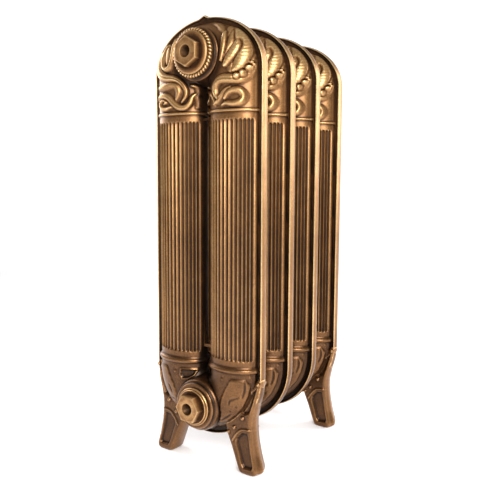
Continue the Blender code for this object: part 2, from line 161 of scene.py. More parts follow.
# Each strand: style, height, control points (x, z, half width). Later strands pass over earlier ones.
UPPER_STRANDS = [
    # scrolls of the right-hand column
    ("round", 3, [(48, 657, 4), (58, 646, 10), (66, 624, 16), (64, 603, 11), (60, 594, 3)]),
    ("round", 3.6, [(56, 650, 3), (57, 637, 5.6), (55, 623, 5), (52, 612, 2.6)]),
    ("edged", 2.6, [(11, 571, 1.4), (18, 566, 3), (26, 560, 3.6), (31, 553, 3), (33, 547, 1.4)]),
    ("edged", 4.2, [(31, 549, 1.6), (38, 553, 3.6), (45, 560, 4.4), (52, 567, 4), (60, 571, 2.2)]),
    ("edged", 5, [(52, 556, 2.4), (56, 563, 4), (64, 567, 4.8), (74, 566, 5.4), (79.5, 558.5, 5.6),
                    (75, 551, 5.4), (64, 548.5, 4.6), (54, 549.5, 3.4), (47, 546.5, 1.6)]),
    ("banded", 5.6, [(89, 608, 2), (88.5, 596, 3.6), (84, 587, 5.6), (74, 582.5, 6.8), (61, 583, 6.8),
                     (49, 584, 6.6), (39, 581.5, 6.2), (33.5, 573.5, 5.2), (34, 564, 4), (39, 557, 2)]),
    ("spiked", 4.6, [(58, 664, 1), (72, 654, 1.8), (81, 640, 2.2), (86, 622, 2.5), (87, 606, 2.6)]),
    ("ribbed", 6.8, [(46, 664, 2), (59, 657, 6), (69.5, 644, 9.6), (75.5, 628, 11), (76, 612, 10.4),
                     (72, 600, 8), (66, 593, 2.4)]),
    ("ribbed", 6.4, [(66, 633, 3.6), (66.5, 626, 6.8), (62, 617, 7.4), (56.5, 609, 6.2), (52.5, 602.5, 4)]),
    ("flat", 6, [(45, 648, 2.6), (46.6, 638, 4.4), (47, 624, 4.4), (46, 610, 3)]),
    # knot over the top port
    ("round", 2.6, [(4, 671, 1), (18, 668, 2.4), (30, 662, 3.4), (38, 655, 3.6), (43, 649, 1.8)]),
    ("round", 3.2, [(-18, 673, 1.2), (-34, 669, 2.4), (-48, 662, 2.4), (-58, 653, 1.2)]),
    # scrolls of the left-hand column
    ("round", 4.2, [(-18, 581, 2), (-12.5, 579, 3.6), (-11, 572, 3.4), (-12.5, 565, 3), (-10.5, 557, 4.2),
                    (-11.5, 549, 3)]),
    ("edged", 4.4, [(-50, 550, 1.8), (-60, 547.5, 3.2), (-69, 549, 4), (-74, 554.5, 3.8), (-70.5, 560.5, 3),
                    (-64, 561, 2.4), (-60, 557, 1.8), (-65, 555, 1.2)]),
    ("edged", 4, [(-84, 579, 2), (-74, 580.5, 5), (-62, 581, 6.4), (-50, 583, 6), (-41, 581, 5.4),
                    (-36.5, 573, 5), (-39, 563, 3.4), (-42, 558, 1.4)]),
    ("banded", 5.2, [(-80, 562, 1.6), (-73, 567, 4), (-63, 567.5, 4.8), (-53, 563.5, 5), (-45, 556, 5),
                     (-36, 549.5, 4.8), (-27, 548.5, 4.4), (-20.5, 554.5, 3.8), (-17.5, 564, 2.6),
                     (-13.5, 569, 1.4)]),
    ("flat", 3.8, [(-60, 642, 2.4), (-57.5, 630, 5.4), (-55.5, 619, 5.4), (-53, 611, 2.4)]),
    ("edged", 5.4, [(-44, 648, 1.8), (-46, 636, 3.4), (-47, 621, 4.2), (-52, 609, 4.8), (-60, 606.5, 4.6),
                    (-66.5, 612, 4.4), (-68, 624, 4), (-65, 636, 3.4), (-58, 642, 1.6)]),
    ("banded", 5.6, [(-34, 668, 2), (-52, 663, 3.6), (-68, 654, 5.4), (-78, 640, 7.4), (-81.5, 624, 8.6),
                     (-79, 608, 8.8), (-70, 598.5, 7.6), (-57, 593.5, 5.8), (-45, 592, 5), (-36, 588.5, 4.4),
                     (-29, 582, 4), (-25, 573, 3.6), (-26, 564, 3), (-31, 556, 1.6)]),
]

# Round beads: x, z, radius, height.
UPPER_BEADS = [(86, 604, 2.4, 5.8), (84, 596, 4.4, 7.6), (77.5, 589, 5.2, 8.2), (69.5, 586, 4.4, 7.8)]
LOWER_BEADS = [(45, 145, 1.8, 2.2), (-47, 142, 1.8, 2.2), (86.5, 152, 1.4, 1.6)]

# Raised panels of the bottom arch, and the slits and pits cut into them.
LEAF_RIGHT = [(60, 148), (82, 148), (88, 139), (84, 122), (76, 105), (63, 89), (48, 77), (30, 71), (36, 82),
              (40, 92), (40, 104), (44, 118), (50, 131)]
LEAF_LEFT = [(-88, 146), (-64, 148), (-57, 136), (-49, 122), (-43, 108), (-44, 95), (-52, 84), (-66, 90),
             (-78, 104), (-86, 122)]
LEAF_HEIGHT = 1.8
SLITS = [
    [(81, 144, 0.7), (80.5, 132, 1.2), (77, 121, 0.8)],
    [(57, 108, 0.8), (59, 114, 1.3), (65, 117, 1.2), (72, 120, 0.9)],
    [(39, 79, 0.6), (48, 85, 1.2), (56, 91, 0.7)],
    [(67, 105, 1.2), (66.5, 105.5, 1.2)],
    [(57, 96, 1.1), (56.5, 96.5, 1.1)],
    [(-60, 118, 0.8), (-57, 111, 2), (-54, 106, 0.8)],
    [(-55, 96, 1.4), (-49, 97, 0.9)],
    [(-82, 138, 0.7), (-80, 124, 1.3), (-72, 108, 0.8)],
]
SLIT_DEPTH = 1.5
CARTOUCHE = [(-36, 147), (-13, 147), (-16, 138), (-24, 133), (-33, 132), (-37, 138)]


def inside_by(x, z, outline):
    """How far each point lies inside a closed outline, negative outside."""
    ring = np.array(outline, float)
    away = np.full(x.shape, 1e9)
    inside = np.zeros(x.shape, bool)
    for (ax, az), (bx, bz) in zip(ring, np.roll(ring, -1, axis=0)):
        dx, dz = bx - ax, bz - az
        t = np.clip(((x - ax) * dx + (z - az) * dz) / (dx * dx + dz * dz), 0, 1)
        away = np.minimum(away, np.hypot(x - ax - t * dx, z - az - t * dz))
        crosses = (az > z) != (bz > z)
        inside ^= crosses & (x < dx * (z - az) / np.where(dz == 0, 1e-9, dz) + ax)
    return np.where(inside, away, -away)


def step_up(value, width):
    t = np.clip(value / width, 0, 1)
    return t * t * (3 - 2 * t)


STRAND_GAP = 0.9       # the dark line that a strand leaves beside it
BEAD_MOAT = 1.35       # radius of the groove round a bead, over the bead's own
MOAT_DEPTH = 2.6


def upper_relief(x, z):
    height = np.zeros(x.shape)
    for style, tall, points in UPPER_STRANDS:
        path = smooth_path(points)
        reach = path[:, 2].max() + STRAND_GAP
        near = ((x > path[:, 0].min() - reach) & (x < path[:, 0].max() + reach)
                & (z > path[:, 1].min() - reach) & (z < path[:, 1].max() + reach))
        share, along = nearest_on_path(x[near], z[near], path)
        strand = tall * strand_shape(style, share, along)
        width = path[:, 2].mean()
        beside = height[near] * np.clip((share - 1) * width / STRAND_GAP, 0, 1)
        height[near] = np.where(share < 1, np.maximum(strand, beside), beside)
    for bead_x, bead_z, radius, tall in UPPER_BEADS:
        share = np.hypot(x - bead_x, z - bead_z) / radius
        around = np.clip((BEAD_MOAT - share) / (BEAD_MOAT - 1), 0, 1)
        height = np.where(share < 1, np.maximum(height, tall * (0.4 + 0.6 * dome(share))),
                          np.maximum(height - MOAT_DEPTH * around, 0))
    return height


def lower_relief(x, z):
    height = np.zeros(x.shape)
    for leaf in (LEAF_RIGHT, LEAF_LEFT):
        depth = inside_by(x, z, leaf)
        teeth = 1.1 * np.abs(np.sin(z * 0.42 + 0.15 * x)) * (np.abs(x) < 62)
        height = np.maximum(height, LEAF_HEIGHT * step_up(depth - teeth, 1.6))
    for points in SLITS:
        share, _ = nearest_on_path(x, z, smooth_path(points))
        height = np.minimum(height, np.where(share < 1.4, LEAF_HEIGHT - SLIT_DEPTH * step_up(1.4 - share, 0.8),
                                             9.0))
    for bead_x, bead_z, radius, tall in LOWER_BEADS:
        share = np.hypot(x - bead_x, z - bead_z) / radius
        height = np.maximum(height, tall * dome(share))
    depth = inside_by(x, z, CARTOUCHE)
    border = 1.5 * dome(depth / 1.5)
    return np.where(depth > 0.6, -1.8 * step_up(depth - 0.6, 1.2), np.maximum(height, border))


CELL = 0.5             # of the relief's grid
SOFTNESS = 1.0         # of its edges, in cells
SOFT_REACH = 5


class HeightMap:
    """A relief worked out once on a fine grid, its edges softened as a sand casting's are."""

    def __init__(self, function, low, high):
        self.low = low
        x, z = np.meshgrid(np.arange(-RIM_RADIUS, RIM_RADIUS, CELL), np.arange(low, high, CELL))
        height = function(x, z)
        reach = np.arange(-SOFT_REACH, SOFT_REACH + 1)
        kernel = np.exp(-0.5 * (reach / SOFTNESS) ** 2)
        kernel /= kernel.sum()
        for axis in (0, 1):
            shifted = [np.roll(height, step, axis) * share for step, share in zip(reach, kernel)]
            height = np.sum(shifted, axis=0)
        self.height = height

    def __call__(self, x, z):
        column = np.clip((x + RIM_RADIUS) / CELL, 0, self.height.shape[1] - 1.001)
        row = np.clip((z - self.low) / CELL, 0, self.height.shape[0] - 1.001)
        i, j = row.astype(int), column.astype(int)
        down, right = row - i, column - j
        top = self.height[i, j] * (1 - right) + self.height[i, j + 1] * right
        bottom = self.height[i + 1, j] * (1 - right) + self.height[i + 1, j + 1] * right
        return top * (1 - down) + bottom * down


EDGE_FADE = 0.85
UPPER_MAP = HeightMap(upper_relief, BEAD_HIGH - 6, SECTION_HIGH[2] + 4)
LOWER_MAP = HeightMap(lower_relief, ARCH_LOW - RIM_RADIUS - 4, BEAD_LOW + 6)


def relief(x, z):
    """Height of the cast ornament above the plain casting, in millimetres."""
    clear = 2.2
    upper = UPPER_MAP(x, z) * step_up(z - BEAD_HIGH - clear, 2.0)
    upper = upper * (1 - EDGE_FADE * step_up(np.abs(x) - 74, 12.0) * step_up(600 - z, 14.0))
    lower = LOWER_MAP(x, z) * step_up(BEAD_LOW - clear - z, 2.0)
    return np.where(z > ARCH_HIGH - 200, upper, lower)


# ------------ meshes from numbers


def linked(name, data):
    obj = bpy.data.objects.new(name, data)
    bpy.context.scene.collection.objects.link(obj)
    return obj


def mesh_object(name, vertices, faces):
    mesh = bpy.data.meshes.new(name)
    mesh.from_pydata(vertices, [], faces)
    mesh.update()
    return linked(name, mesh)


def ring_mesh(name, grid):
    """A closed mesh from a grid of points (rows, columns, 3) that wraps both ways."""
    rows, columns = grid.shape[:2]
    index = np.arange(rows * columns).reshape(rows, columns)
    below = np.roll(index, -1, axis=0)
    quads = np.stack([index, np.roll(index, -1, axis=1), np.roll(below, -1, axis=1), below], -1)
    mesh = bpy.data.meshes.new(name)
    flat = quads.reshape(-1, 4)
    mesh.vertices.add(rows * columns)
    mesh.vertices.foreach_set("co", (grid.reshape(-1) * MM).astype(np.float32))
    mesh.loops.add(flat.size)
    mesh.loops.foreach_set("vertex_index", flat.reshape(-1).astype(np.int32))
    mesh.polygons.add(len(flat))
    mesh.polygons.foreach_set("loop_start", np.arange(0, flat.size, 4, dtype=np.int32))
    mesh.update(calc_edges=True)
    mesh.validate()
    obj = linked(name, mesh)
    face_out(obj)
    return obj


def face_out(obj):
    bm = bmesh.new()
    bm.from_mesh(obj.data)
    if bm.calc_volume(signed=True) < 0:
        bmesh.ops.reverse_faces(bm, faces=bm.faces)
    bm.to_mesh(obj.data)
    bm.free()


CREST_X, CREST_WIDE, CREST_TALL = -5.0, 5.0, 4.0


def stadium(radius, arch_steps, straight_steps):
    """Points and outward directions around an upright stadium that has the rim's flatter top arch."""
    points, outward = [], []
    for centre, first, flat in ((RIM_SPRING, 0.0, FLATTEN), (ARCH_LOW, math.pi, 0.0)):
        for step in range(arch_steps + 1):
            angle = first + math.pi * step / arch_steps
            cosine, sine = math.cos(angle), math.sin(angle)
            x, z = radius * cosine, centre + (radius - flat) * sine
            direction = Vector((cosine / radius, sine / (radius - flat))).normalized()
            if flat:
                z += CREST_TALL * math.exp(-((x - CREST_X) / CREST_WIDE) ** 2) * max(sine, 0) ** 8
            points.append((x, z))
            outward.append(tuple(direction))
        side = -1 if flat else 1
        start, end = (RIM_SPRING, ARCH_LOW) if flat else (ARCH_LOW, RIM_SPRING)
        for step in range(1, straight_steps):
            points.append((side * radius, start + (end - start) * step / straight_steps))
            outward.append((side, 0.0))
    return np.array(points), np.array(outward)


def tube_angles():
    """Parameters around the tube's ellipse: fine across the flutes and coarse at its sides."""
    first = math.pi / 2 - FLUTE_STEP * FLUTE_COUNT / 2
    front = np.linspace(first, math.pi - first, FLUTE_COUNT * FRONT_SAMPLES, endpoint=False)
    back = np.linspace(math.pi + first, math.tau - first, FLUTE_COUNT * BACK_SAMPLES, endpoint=False)
    inner = np.linspace(math.pi - first, math.pi + first, 8, endpoint=False)
    outer = np.linspace(-first, first, 10, endpoint=False)
    return np.concatenate([outer, front, inner, back])


def column_rows():
    """Heights of the straight rows between the two arches, close where there is detail."""
    bead = np.array([-3.2, -2.5, -1.9, -1.1, -0.4, 0.4, 1.1, 1.9, 2.5, 3.2])
    spans = [np.linspace(ARCH_LOW, BEAD_LOW - 4.2, 6), BEAD_LOW + bead,
             np.linspace(FLUTE_LOW - 9, FLUTE_LOW + 3, 11), np.linspace(FLUTE_LOW + 6, FLUTE_HIGH - 6, 6),
             np.linspace(FLUTE_HIGH - 3, FLUTE_HIGH + 6, 9), BEAD_HIGH + bead,
             np.linspace(HEADER_START, ARCH_HIGH, 38)]
    return np.concatenate(spans)


def row_ends(wide, high_rows, low_rows, rows):
    """Inner and outer plan points of every cross-section around the swept tube."""
    inner, outer = TUBE_X - wide, TUBE_X + wide
    lift = FLATTEN * np.clip((rows - HEADER_START) / (ARCH_HIGH - HEADER_START), 0, 1)
    ends = [(inner, z, outer, z + up) for z, up in zip(rows[1:-1], lift[1:-1])]
    for angle in np.linspace(0, math.pi, high_rows):
        cosine, sine = math.cos(angle), math.sin(angle)
        ends.append((inner * cosine, ARCH_HIGH + inner * sine,
                     outer * cosine, RIM_SPRING + (outer - FLATTEN) * sine))
    ends += [(-inner, z, -outer, z + up) for z, up in zip(rows[-2:0:-1], lift[-2:0:-1])]
    for angle in np.linspace(math.pi, math.tau, low_rows):
        cosine, sine = math.cos(angle), math.sin(angle)
        ends.append((inner * cosine, ARCH_LOW + inner * sine, outer * cosine, ARCH_LOW + outer * sine))
    ends = np.array(ends)
    return ends[:, :2], ends[:, 2:]


def tube_grid(wide, deep, high_rows, low_rows, rows, angles):
    """Plan position, outward direction and ellipse angle of every point on the swept tube."""
    inner, outer = row_ends(wide, high_rows, low_rows, rows)
    across = outer - inner
    directions = across / np.linalg.norm(across, axis=1)[:, None]
    share = (1 + np.cos(angles)) / 2
    plan = inner[:, None] + across[:, None] * share[None, :, None]
    depth = -deep * np.sin(angles)
    normal_out = np.cos(angles) / wide
    normal_front = np.sin(angles) / deep
    size = np.hypot(normal_out, normal_front)
    return plan, depth, directions, normal_out / size, normal_front / size


def flute_depth(z, angles):
    """How deep the rounded flutes cut, for heights z (rows) and ellipse angles (columns)."""
    first = math.pi / 2 - FLUTE_STEP * (FLUTE_COUNT - 1) / 2
    folded = np.mod(angles, math.pi)
    number = np.clip(np.round((folded - first) / FLUTE_STEP), 0, FLUTE_COUNT - 1)
    across = (folded - first - number * FLUTE_STEP) / FLUTE_STEP / FLUTE_SHARE
    pitch = FLUTE_STEP * np.hypot(TUBE_WIDE * np.sin(folded), TUBE_DEEP * np.cos(folded))
    radius = FLUTE_SHARE * pitch
    beyond = np.maximum(np.maximum(FLUTE_LOW + radius - z[:, None], z[:, None] - FLUTE_HIGH + radius), 0)
    share = np.hypot(across[None, :], beyond / radius[None, :])
    return FLUTE_DEPTH * dome(share)


def bead_height(z):
    low = 3.4 * dome((z - BEAD_LOW) / 3.9)
    high = 2.2 * dome((z - BEAD_HIGH) / 2.4)
    return np.maximum(low, high)


def section_tube():
    """The two columns and their headers as one swept surface that carries flutes, beads and relief."""
    angles = tube_angles()
    plan, depth, directions, out, front = tube_grid(TUBE_WIDE, TUBE_DEEP, ARCH_ROWS_HIGH, ARCH_ROWS_LOW,
                                                    column_rows(), angles)
    x, z = plan[..., 0], plan[..., 1]
    straight = (np.abs(directions[:, 1]) < 1e-6) & (z[:, 0] < HEADER_START - 0.1)
    row_z = np.where(straight, z[:, 0], 0.0)
    raise_by = np.zeros(x.shape)
    raise_by[straight] += bead_height(row_z[straight])[:, None] - flute_depth(row_z[straight], angles)
    facing = np.abs(front)[None, :]
    face_share = step_up(facing - 0.14, 0.42)
    side = np.where(np.sin(angles) >= 0, 1.0, -1.0)[None, :]
    ornament = relief((x * side).ravel(), z.ravel()).reshape(x.shape)
    raise_by += ornament * face_share
    arris = 0.9 * dome((np.degrees(np.arcsin(np.clip(np.abs(np.sin(angles)), 0, 1))) - 13) / 4)
    raise_by += np.where(np.cos(angles) > 0, arris, 0)[None, :]
    grid = np.empty(x.shape + (3,))
    grid[..., 0] = x + directions[:, None, 0] * out[None] * raise_by
    grid[..., 1] = depth[None] - front[None] * raise_by
    grid[..., 2] = z + directions[:, None, 1] * out[None] * raise_by
    return ring_mesh("tube", grid)


def section_cavity():
    """The waterway: the swept tube again, one wall smaller all round."""
    angles = np.linspace(0, math.tau, 20, endpoint=False)
    heights = np.array([ARCH_LOW, 300.0, HEADER_START, ARCH_HIGH])
    plan, depth, _, _, _ = tube_grid(TUBE_WIDE - WALL, TUBE_DEEP - WALL, 18, 18, heights, angles)
    grid = np.empty(plan.shape[:2] + (3,))
    grid[..., 0], grid[..., 1], grid[..., 2] = plan[..., 0], depth[None], plan[..., 1]
    return ring_mesh("waterway", grid)


RIM_PROFILE = [(-16, 2.6), (-5, 2.6), (-3.7, 3.1), (-2.9, 4.4), (-2.5, 5.8), (-2.2, 6.7), (-1.6, 7),
               (-1.1, 6.5), (-0.7, 5.2), (-0.35, 3), (-0.1, 1.2), (0, 0)]


def section_rim():
    """A thin web with a wide outer lip whose face is crowned, swept around the casting."""
    half = [(out, -y) for out, y in RIM_PROFILE]
    profile = np.array(half + [(out, -y) for out, y in reversed(half[:-1])])
    points, outward = stadium(RIM_RADIUS, 72, 6)
    grid = np.empty((len(points), len(profile), 3))
    grid[..., 0] = points[:, None, 0] + outward[:, None, 0] * profile[None, :, 0]
    grid[..., 2] = points[:, None, 1] + outward[:, None, 1] * profile[None, :, 0]
    grid[..., 1] = profile[None, :, 1]
    return ring_mesh("rim", grid)


def turned_grid(profile, sides):
    """Points of a profile (radius, reach) turned about the Y axis."""
    profile = np.array(profile, float)
    angle = np.linspace(0, math.tau, sides, endpoint=False)
    grid = np.empty((sides, len(profile), 3))
    grid[..., 0] = np.cos(angle)[:, None] * profile[None, :, 0]
    grid[..., 2] = np.sin(angle)[:, None] * profile[None, :, 0]
    grid[..., 1] = profile[None, :, 1]
    return grid


def both_ways(profile):
    """A profile mirrored in Y, as one closed loop around the port."""
    return list(profile) + [(radius, -reach) for radius, reach in reversed(profile)]


PORT_RADIUS = 20.6
CHAMBER = 32.0
UPPER_HUB = [(CHAMBER, 0), (CHAMBER, 22), (PORT_RADIUS, 24), (PORT_RADIUS, HUB_REACH), (30.4, HUB_REACH),
             (31.2, 37.4), (33.2, 36), (33.8, 33.4), (34.1, 30.8), (34.9, 29.8), (36.8, 29.5), (38.1, 28.9),
             (38.6, 27.7), (38.1, 26.5), (37.1, 25.4), (36.9, 22), (38.2, 15), (41, 8), (43.5, 3)]
LOWER_HUB = [(CHAMBER, 0), (CHAMBER, 22), (PORT_RADIUS, 24), (PORT_RADIUS, HUB_REACH), (31.2, HUB_REACH),
             (32.2, 37.9), (33.6, 38.1), (34.9, 37.4), (35.4, 36.1), (35.1, 34.9), (34.5, 34.2), (35.2, 32.8),
             (37, 32), (38.6, 31), (39.6, 29.4), (40.1, 27), (40.8, 20), (42.5, 12), (44.5, 5)]


def section_hub(profile, height):
    front = [(radius, -reach) for radius, reach in profile]
    grid = turned_grid(both_ways(front[1:]), 96)
    grid[..., 2] += height
    return ring_mesh("hub", grid)


ROPE_RADIUS = 32.6
ROPE_REACH = 38.6
ROPE_THICK = 2.9
ROPE_STRANDS = 42


def rope(face):
    """A twisted moulding around the top port, on the front (-1) or back (1) face."""
    around, sides = ROPE_STRANDS * 9, 12
    angle = np.linspace(0, math.tau, around, endpoint=False)[:, None]
    turn = np.linspace(0, math.tau, sides, endpoint=False)[None, :]
    ridge = 0.5 + 0.5 * np.cos(ROPE_STRANDS * angle + face * turn)
    thick = ROPE_THICK * (0.66 + 0.38 * ridge ** 0.7)
    radius = ROPE_RADIUS + thick * np.cos(turn)
    grid = np.stack([radius * np.cos(angle), face * (ROPE_REACH + thick * np.sin(turn)),
                     radius * np.sin(angle) + PORT_HIGH], -1)
    return ring_mesh("rope", grid)


def box_mesh(name, low, high):
    bm = bmesh.new()
    low, high = np.array(low, float) * MM, np.array(high, float) * MM
    at = Matrix.Translation((low + high) / 2) @ Matrix.Diagonal((*(high - low), 1.0))
    bmesh.ops.create_cube(bm, size=1.0, matrix=at)
    mesh = bpy.data.meshes.new(name)
    bm.to_mesh(mesh)
    bm.free()
    return linked(name, mesh)


def combine(target, others, operation, keep=False):
    """Joins or cuts closed meshes, and removes the operands unless they are kept."""
    for other in others:
        boolean = target.modifiers.new("boolean", "BOOLEAN")
        boolean.operation = operation
        boolean.solver = "MANIFOLD"
        boolean.object = other
    bpy.context.view_layer.update()
    mesh = bpy.data.meshes.new_from_object(target.evaluated_get(bpy.context.evaluated_depsgraph_get()))
    target.modifiers.clear()
    target.data = mesh
    for other in [] if keep else others:
        bpy.data.objects.remove(other, do_unlink=True)


FOOT_OUTER = [(0, 91.5), (1.2, 95), (3.5, 97.4), (7.5, 98.2), (12, 97.2), (28, 93), (50, 89), (70, 87),
              (86, 87.5), (104, 91.5), (124, 98), (138, 101), (147, 101.8)]
FOOT_INNER = [(0, 72), (1.2, 68.4), (3.5, 66.4), (7.5, 64.8), (19, 60), (38, 52), (57, 43), (72, 40),
              (90, 48), (108, 62), (124, 78), (138, 90), (147, 95)]
FOOT_DEPTH = [(0, 12.6), (1.2, 14), (3.5, 15), (12, 15.2), (28, 14.2), (55, 13), (95, 12.6), (118, 11.4),
              (134, 9.2), (147, 7.6)]
TOE_BULGE = [(0, 3.2), (6, 4.2), (14, 3.8), (30, 2.6), (60, 2), (110, 1.2), (147, 0.6)]
FOOT_PANEL = [(82, 65), (71, 64), (61, 54), (60, 46), (71, 14), (75, 8.5), (91, 8.5), (93.5, 14), (88, 36),
              (84.5, 55)]
FOOT_HOLLOW = [(98, 138), (91, 110), (85, 94), (76, 90), (66, 94), (74, 110), (88, 130)]
FOOT_RIDGE = [(55, 48, 1.5), (61, 58, 1.8), (70, 67, 1.9), (80, 69, 1.7), (87, 69, 1.4)]
FOOT_KNOBS = [(73, 86, 3.4, 3.2), (58, 69, 3.2, 3), (47, 60, 3, 2.6), (98.5, 141, 3.4, 3.4)]
FOOT_TOP = 147.0
FOOT_ROWS = 132
CORNER = 4.4


def along_height(pairs, z):
    heights, values = np.array(pairs, float).T
    return np.interp(z, heights, values)


def foot_face(x, z):
    """How far the foot's front and back faces stand out from, or lie below, their plain level."""
    height = 1.6 * dome(nearest_on_path(x, z, smooth_path(FOOT_RIDGE))[0])
    for knob_x, knob_z, radius, tall in FOOT_KNOBS:
        height = np.maximum(height, tall * dome(np.hypot(x - knob_x, z - knob_z) / radius))
    height -= 4.2 * step_up(inside_by(x, z, FOOT_PANEL), 3.8)
    height -= 4.2 * step_up(inside_by(x, z, FOOT_HOLLOW), 5.0)
    return height


def foot(side):
    """One foot as stacked rings: two faces with their recesses, and two rounded edges."""
    z = np.concatenate([np.linspace(0, 7.5, 9)[:-1], np.linspace(7.5, FOOT_TOP, FOOT_ROWS)])
    outer, inner = along_height(FOOT_OUTER, z), along_height(FOOT_INNER, z)
    deep, bulge = along_height(FOOT_DEPTH, z), along_height(TOE_BULGE, z)
    across = np.linspace(0, 1, 46)
    edge = np.linspace(-1, 1, 13)[1:-1]
    x_face = inner[:, None] + (outer - inner)[:, None] * across
    z_face = np.repeat(z[:, None], len(across), 1)
    rim_gap = np.minimum(x_face - inner[:, None], outer[:, None] - x_face)
    corner = CORNER - np.sqrt(np.maximum(CORNER ** 2 - np.clip(CORNER - rim_gap, 0, CORNER) ** 2, 0))
    y_face = deep[:, None] - corner + foot_face(x_face, z_face)
    edge_deep = y_face[:, -1:]
    x_out = outer[:, None] + bulge[:, None] * (1 - edge[None] ** 2) ** 2
    x_in = inner[:, None] - 1.2 * (1 - edge[None] ** 2)
    columns = [np.stack([x_face, -y_face, z_face], -1),
               np.stack([x_out, edge_deep * edge[None], np.repeat(z[:, None], len(edge), 1)], -1),
               np.stack([x_face, y_face, z_face], -1)[:, ::-1],
               np.stack([x_in, -y_face[:, :1] * edge[None], np.repeat(z[:, None], len(edge), 1)], -1)]
    grid = np.concatenate(columns, 1)
    grid[..., 0] *= side
    return stacked_mesh("foot", grid)


def stacked_mesh(name, grid):
    """A closed mesh from stacked rings of points, capped at both ends."""
    rows, columns = grid.shape[:2]
    index = np.arange(rows * columns).reshape(rows, columns)
    after = np.roll(index, -1, axis=1)
    faces = np.stack([index[:-1], after[:-1], after[1:], index[1:]], -1).reshape(-1, 4).tolist()
    faces += [index[0][::-1].tolist(), index[-1].tolist()]
    obj = mesh_object(name, (grid.reshape(-1, 3) * MM).tolist(), faces)
    bm = bmesh.new()
    bm.from_mesh(obj.data)
    bmesh.ops.triangulate(bm, faces=[face for face in bm.faces if len(face.verts) > 4])
    bmesh.ops.recalc_face_normals(bm, faces=bm.faces)
    bm.to_mesh(obj.data)
    bm.free()
    face_out(obj)
    return obj


TIE_HALF_DEPTH = 2.5
TIES = [(530.5, 533.5), (182.0, 186.5)]    # the upper one is higher than the CAD's, as in the photograph


def build_section():
    """The casting all four sections share, and the solid it is before its waterway is cut."""
    body = section_tube()
    joins = [section_rim(), section_hub(UPPER_HUB, PORT_HIGH), section_hub(LOWER_HUB, PORT_LOW)]
    joins += [box_mesh("tie", (-12, -TIE_HALF_DEPTH, low), (12, TIE_HALF_DEPTH, high)) for low, high in TIES]
    combine(body, joins, "UNION")
    solid = linked("solid", body.data.copy())
    combine(body, [section_cavity()], "DIFFERENCE")
    return body, solid


def build_feet(solid):
    feet = [foot(side) for side in (1, -1)]
    for made in feet:
        combine(made, [solid], "DIFFERENCE", keep=True)
    return feet


# ------------ fittings, as turned grids


def polygon_radius(angle, sides, flat_radius, turn):
    """How far out a regular prism's side lies, for each angle; turn is where its first corner points."""
    half = math.pi / sides
    return flat_radius / np.cos(np.mod(angle - turn, 2 * half) - half)


def fitting(name, rows, place_y, place_z, outward, sides=144, bored=True):
    """A closed turned piece. Each row is (radius, reach) or (radius, reach, prism), reach along the port axis.

    A prism is (number of sides, flat radius, turn): the row's radius is cut back to its flats.
    The last row of a bored piece joins its first. A piece that isn't bored is capped at both.
    """
    angle = np.linspace(0, math.tau, sides, endpoint=False)
    grid = np.empty((sides, len(rows), 3))
    for number, row in enumerate(rows):
        radius = np.full(sides, float(row[0]))
        if len(row) > 2:
            radius = np.minimum(radius, polygon_radius(angle, *row[2]))
        grid[:, number, 0] = radius * np.cos(angle) * -outward
        grid[:, number, 2] = radius * np.sin(angle)
        grid[:, number, 1] = row[1] * outward
    grid[..., 1] += place_y
    grid[..., 2] += place_z
    return ring_mesh(name, grid) if bored else stacked_mesh(name, grid.transpose(1, 0, 2))


THREAD_STEPS = 4       # rows to a turn


def thread_rows(radius, depth, start, end, pitch):
    """Rows of a fine V thread seen as rings, from one reach to the other."""
    count = int(abs(end - start) / pitch * THREAD_STEPS)
    rows = []
    for step in range(count + 1):
        share = 2 * abs((step / THREAD_STEPS) % 1 - 0.5)
        rows.append((radius + depth * share, start + (end - start) * step / count))
    return rows


def bevelled_prism(low, high, sides, flat, turn, bevel):
    """Rows of a prism with one small even bevel around its outer face."""
    corner = flat / math.cos(math.pi / sides)
    return [(corner, low, (sides, flat, turn)), (corner, high - bevel, (sides, flat, turn)),
            (corner, high - bevel * 0.4, (sides, flat - bevel * 0.25, turn)),
            (corner, high, (sides, flat - bevel, turn))]


def finish_mesh(obj, angle):
    obj.data.shade_smooth()
    obj.data.set_sharp_from_angle(angle=math.radians(angle))
    return obj


HEX_FLAT = 18.75
BUSH_END = 18.0
# Flange profiles (radius, reach from the hub face), from the joint outwards
UPPER_FLANGE = [(29.2, 2.2), (29.4, 4.2), (30.4, 4.6), (30.7, 5.4), (30.4, 6.2), (29.2, 7.2), (27, 8),
                (24.5, 7.6), (22.8, 6.8)]
LOWER_FLANGE = [(29.2, 2.2), (29, 3.4), (28.4, 4), (26.8, 4.3), (26.5, 5.4), (25.9, 6.2), (25.2, 6.4),
                (24.2, 5.6), (22.9, 5.2)]


def bush(node, outward, turn, flange):
    low, high = node_box(node)
    z = (low[2] + high[2]) / 2
    face = low[1] if outward < 0 else high[1]
    hub_face = face - outward * BUSH_END
    rows = [(20, -10), (20, 2.0)] + flange
    rows += bevelled_prism(flange[-1][1], BUSH_END, 6, HEX_FLAT, turn, 0.9)
    rows += [(17.2, BUSH_END), (9.6, BUSH_END), (9.1, BUSH_END - 0.3), (8.8, BUSH_END - 1.0)]
    rows += thread_rows(8.6, 0.6, BUSH_END - 1.7, -1.0, 1.81)
    rows += [(15, -2.0), (15, -10)]
    obj = finish_mesh(fitting(node + "_cast", rows, hub_face, z, outward), 30)
    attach(obj, "radiator")
    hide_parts(node)
    return obj


SMALL_FLAT = 11.0
VENT_FACE = 10.0
SCREW_HEAD = 5.3


def brass_piece(node, rows, face, sides=144):
    """A solid turned piece at a rear port. Its outer end stands at the reach called face."""
    low, high = node_box(node)
    obj = fitting(node + "_turned", rows, high[1] - face, (low[2] + high[2]) / 2, 1, sides, bored=False)
    return finish_mesh(obj, 32)


